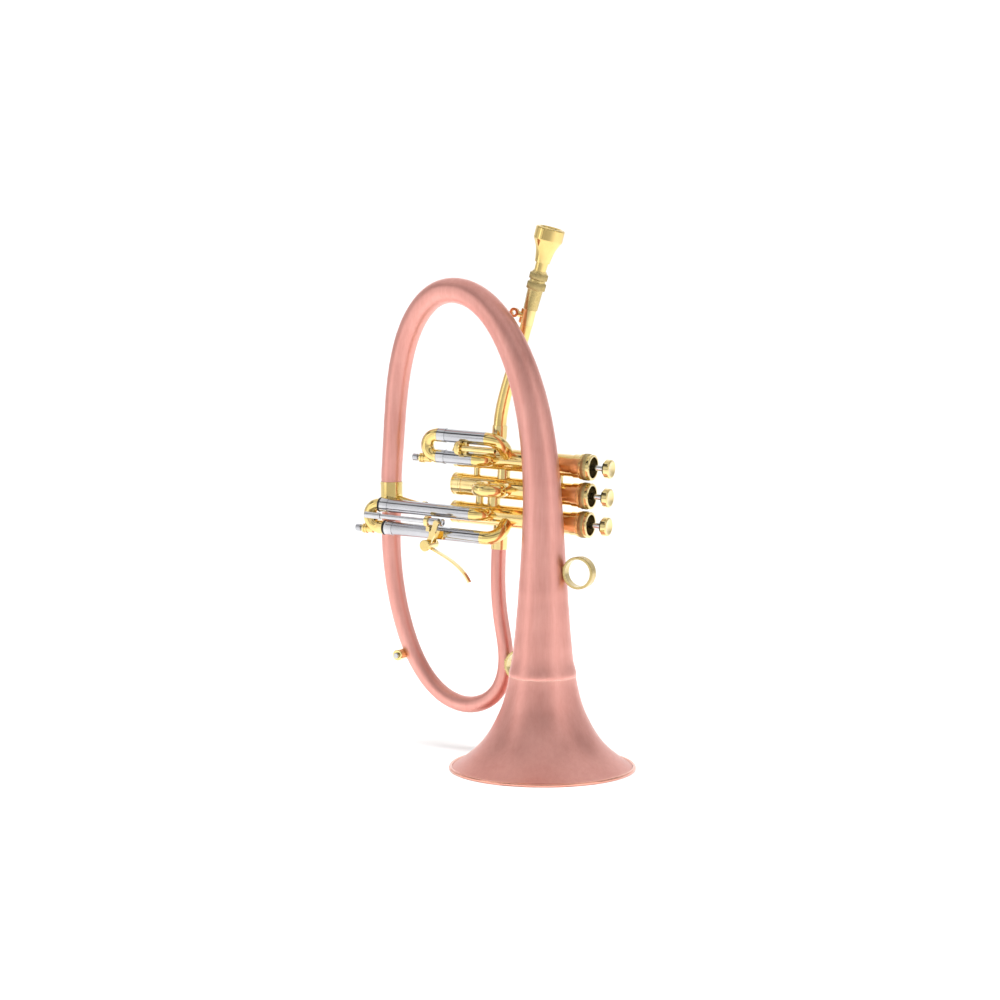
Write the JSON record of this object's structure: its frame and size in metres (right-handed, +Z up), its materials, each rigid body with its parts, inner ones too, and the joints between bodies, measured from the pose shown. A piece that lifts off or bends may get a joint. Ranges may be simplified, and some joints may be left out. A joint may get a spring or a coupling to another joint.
{
  "type": "flugelhorn",
  "caption": "Flugelhorn with satin copper bell and bow, piston valves, pull slides, third-slide trigger, water keys and a gold mouthpiece, standing on its bell",
  "frame": {"origin": "centre of the bell mouth on the floor the horn stands on", "axes": "+Z up along the bell axis, +X the way the valve buttons point, -Y the player's right-hand side"},
  "size_m": [0.2549, 0.1524, 0.4411],
  "materials": {
    "copper": "satin brushed copper under clear lacquer",
    "rim_brass": "rolled wire edge, polished",
    "gold_brass": "polished yellow brass under clear lacquer",
    "satin_brass": "satin turned brass",
    "casing_brass": "polished brass casing",
    "nickel": "polished nickel silver",
    "monel": "honed nickel alloy piston",
    "mouthpiece_gold": "polished gold plate",
    "spring_steel": "coiled spring wire",
    "felt": "dense black felt",
    "rubber": "black rubber"
  },
  "bodies": {
    "horn": {"bell_flare": "copper", "bell_rim_wire": "rim_brass", "bell_stem": "copper", "front_bow": "copper", "tube_ferrules": "gold_brass", "pinky_ring": "satin_brass", "ring_brace": "satin_brass", "stays": "gold_brass", "bow_water_key_body": "gold_brass", "valve_knuckles": "gold_brass", "bottom_caps": "gold_brass", "top_caps": "gold_brass", "cap_felts": "felt", "casing_1": "casing_brass", "casing_2": "casing_brass", "casing_3": "casing_brass", "slide1_outer_tubes": "nickel", "slide1_elbows": "gold_brass", "slide2_outer_tubes": "nickel", "slide3_outer_tubes": "nickel", "slide3_elbows": "gold_brass", "trigger_bracket": "gold_brass", "trigger_rod_guide": "gold_brass", "trigger_pivot_screw": "gold_brass", "lyre_holder": "gold_brass", "leadpipe": "gold_brass", "leadpipe_ferrule": "gold_brass", "leadpipe_sleeve": "gold_brass", "piston_spring_1": "spring_steel", "piston_spring_2": "spring_steel", "piston_spring_3": "spring_steel"},
    "valve_1": {"piston_1": "monel", "piston_stem_1": "nickel", "finger_button_1": "gold_brass"},
    "valve_2": {"piston_2": "monel", "piston_stem_2": "nickel", "finger_button_2": "gold_brass"},
    "valve_3": {"piston_3": "monel", "piston_stem_3": "nickel", "finger_button_3": "gold_brass"},
    "slide_1": {"slide1_inner_tubes": "nickel", "slide1_bow": "gold_brass", "slide1_water_key_body": "gold_brass"},
    "slide_1_key": {"slide1_water_key_button": "nickel"},
    "slide_2": {"slide2_inner_tubes": "nickel", "slide2_bow": "gold_brass"},
    "slide_3": {"slide3_inner_tubes": "nickel", "slide3_bow": "gold_brass", "slide3_bumper_rings": "rubber", "slide3_water_key_body": "gold_brass", "trigger_rod_clamp": "nickel", "trigger_push_rod": "nickel", "trigger_rod_barrel": "nickel"},
    "slide_3_key": {"slide3_water_key_button": "nickel"},
    "trigger": {"trigger_lever": "gold_brass"},
    "bow_key": {"bow_water_key_button": "nickel"},
    "tuning_receiver": {"mouthpiece_receiver": "satin_brass"},
    "mouthpiece": {"mouthpiece": "mouthpiece_gold"},
    "lock_screw": {"lock_screw": "gold_brass"},
    "lyre_screw": {"lyre_screw": "gold_brass"}
  },
  "joints": [
    {"name": "valve_1_press", "type": "slide", "parent": "horn", "child": "valve_1", "axis": [-0.9988, 0, 0.0489], "range_m": [0, 0.016], "stiffness_N_per_m": 120, "springref_m": -0.02, "deforming": ["piston_spring_1"]},
    {"name": "valve_2_press", "type": "slide", "parent": "horn", "child": "valve_2", "axis": [-0.9988, 0, 0.0489], "range_m": [0, 0.016], "stiffness_N_per_m": 120, "springref_m": -0.02, "deforming": ["piston_spring_2"]},
    {"name": "valve_3_press", "type": "slide", "parent": "horn", "child": "valve_3", "axis": [-0.9988, 0, 0.0489], "range_m": [0, 0.016], "stiffness_N_per_m": 120, "springref_m": -0.02, "deforming": ["piston_spring_3"]},
    {"name": "slide_1_pull", "type": "slide", "parent": "horn", "child": "slide_1", "axis": [-0.9988, 0, 0.0489], "range_m": [0, 0.018]},
    {"name": "slide_1_key_press", "type": "slide", "parent": "slide_1", "child": "slide_1_key", "axis": [0.9988, 0, -0.0489], "range_m": [0, 0.0014], "stiffness_N_per_m": 400, "springref_m": -0.002},
    {"name": "slide_2_pull", "type": "slide", "parent": "horn", "child": "slide_2", "axis": [0, -1, 0], "range_m": [0, 0.008]},
    {"name": "slide_3_pull", "type": "slide", "parent": "horn", "child": "slide_3", "axis": [-0.9988, 0, 0.0489], "range_m": [0, 0.0085], "stiffness_N_per_m": 60, "springref_m": -0.02},
    {"name": "slide_3_key_press", "type": "slide", "parent": "slide_3", "child": "slide_3_key", "axis": [0.9988, 0, -0.0489], "range_m": [0, 0.0014], "stiffness_N_per_m": 400, "springref_m": -0.002},
    {"name": "trigger_turn", "type": "hinge", "parent": "horn", "child": "trigger", "pos_m": [-0.10239, -0.0065, 0.17821], "axis": [0, -1, 0], "range_deg": [0, 24.8]},
    {"name": "bow_key_press", "type": "slide", "parent": "horn", "child": "bow_key", "axis": [0, 1, 0], "range_m": [0, 0.0018], "stiffness_N_per_m": 400, "springref_m": -0.002},
    {"name": "receiver_pull", "type": "slide", "parent": "horn", "child": "tuning_receiver", "axis": [0.2689, 0, 0.9632], "range_m": [0, 0.008]},
    {"name": "mouthpiece_pull", "type": "slide", "parent": "tuning_receiver", "child": "mouthpiece", "axis": [0.2689, 0, 0.9632], "range_m": [0, 0.04]},
    {"name": "lock_screw_turn", "type": "hinge", "parent": "horn", "child": "lock_screw", "pos_m": [-0.03573, 0.0312, 0.36813], "axis": [0.9632, 0, -0.2689], "range_deg": [-90, 90]},
    {"name": "lyre_screw_turn", "type": "hinge", "parent": "horn", "child": "lyre_screw", "pos_m": [-0.07743, 0.0028, 0.25869], "axis": [0.9988, 0, -0.0489], "range_deg": [-180, 180]}
  ],
  "couplings": [
    {"joint": "trigger_turn", "follows": "slide_3_pull", "rad_per_m": 50.9}
  ]
}
